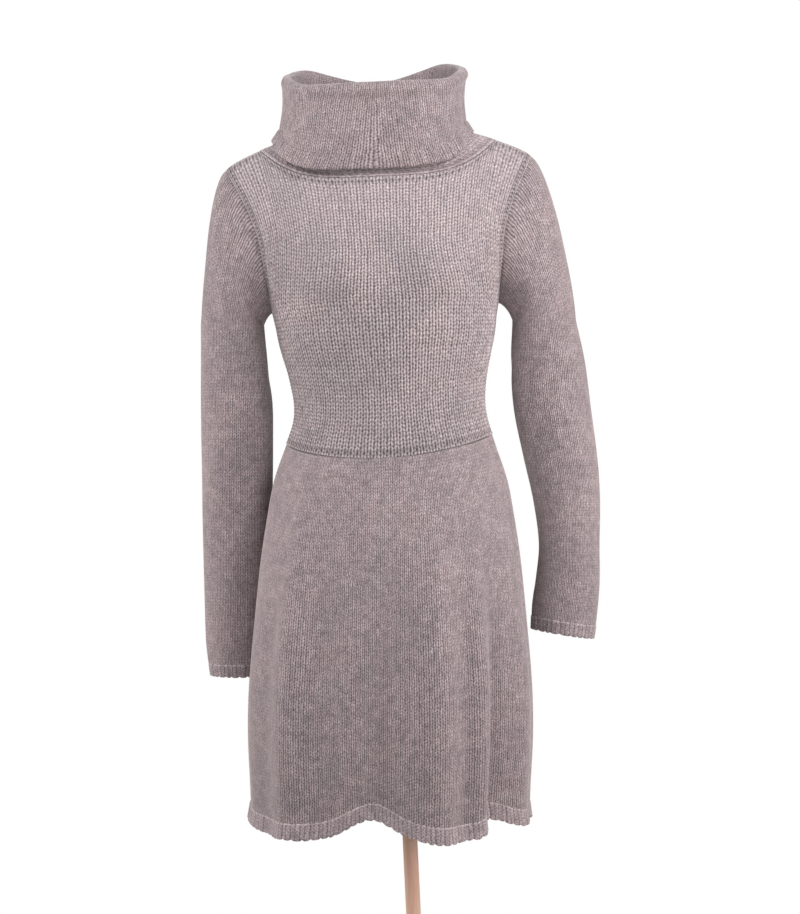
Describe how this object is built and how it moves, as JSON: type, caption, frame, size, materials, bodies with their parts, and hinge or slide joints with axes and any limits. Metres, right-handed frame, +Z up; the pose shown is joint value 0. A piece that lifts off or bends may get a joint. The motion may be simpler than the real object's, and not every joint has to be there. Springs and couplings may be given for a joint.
{
  "type": "sweater dress on a dress form",
  "caption": "Long-sleeved wool-knit sweater dress with a turned-down collar, ribbed bodice and flared skirt, on a limbless dress form with a wooden pole and round base.",
  "frame": {"origin": "centre of the base's flat underside, on the floor", "axes": "+Z up, -Y towards the front of the dress, +X towards the wearer's left"},
  "size_m": [0.5043, 0.36, 1.489],
  "materials": {
    "rib_knit": "chunky ribbed wool knit, heathered grey",
    "plain_knit": "fine plain wool knit, heathered grey",
    "edge_rib": "ribbed wool knit, heathered grey",
    "form_cover": "smooth off-white jersey",
    "wood": "turned beech with a satin varnish"
  },
  "bodies": {
    "root": {"bodice_front": "rib_knit", "bodice_back": "rib_knit", "skirt_front": "plain_knit", "skirt_back": "plain_knit", "hem_band": "edge_rib", "sleeve_left": "plain_knit", "sleeve_right": "plain_knit", "cuff_left": "edge_rib", "cuff_right": "edge_rib", "neck_band": "plain_knit", "collar": "plain_knit", "collar_edge": "edge_rib", "torso_form": "form_cover", "base_disc": "wood", "pole_socket": "wood", "pole": "wood"}
  },
  "joints": []
}
